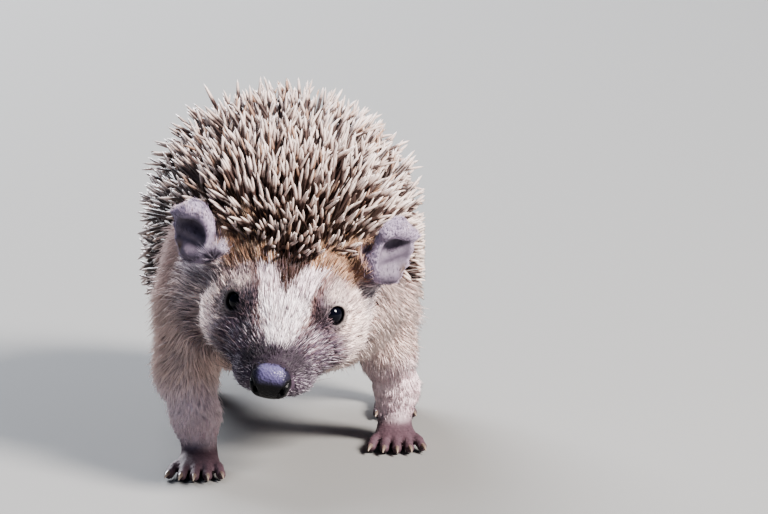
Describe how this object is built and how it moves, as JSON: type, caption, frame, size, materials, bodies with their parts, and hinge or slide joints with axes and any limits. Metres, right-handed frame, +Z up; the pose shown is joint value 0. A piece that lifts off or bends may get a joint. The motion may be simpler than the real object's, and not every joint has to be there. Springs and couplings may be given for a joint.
{
  "type": "hedgehog",
  "caption": "Young hedgehog standing in mid step with its head lowered, as a still, life-size display model with a domed coat of quills.",
  "frame": {"origin": "on the floor under the middle of the animal's bounding box", "axes": "+Z up, the animal looks along -Y, its left side is +X"},
  "size_m": [0.0804, 0.1678, 0.0971],
  "materials": {
    "quills": "smooth quills banded cream, dark brown and cream",
    "face_fur": "short soft hair",
    "body_fur": "coarse hair",
    "leg_fur": "short thin hair",
    "ear_skin": "thin skin with a down of fine hair",
    "foot_skin": "bare wrinkled skin, with horn claws",
    "nose_skin": "bare wet skin",
    "eye": "wet and mirror smooth"
  },
  "bodies": {
    "root": {"head": "face_fur", "nose": "nose_skin", "eye_left": "eye", "eye_right": "eye", "ear_left": "ear_skin", "ear_right": "ear_skin", "neck": "body_fur", "trunk": "body_fur", "tail": "body_fur", "quill_mantle": "quills", "foreleg_left": "leg_fur", "foreleg_right": "leg_fur", "hindleg_left": "leg_fur", "hindleg_right": "leg_fur", "forefoot_left": "foot_skin", "forefoot_right": "foot_skin", "hindfoot_left": "foot_skin", "hindfoot_right": "foot_skin"}
  },
  "joints": []
}
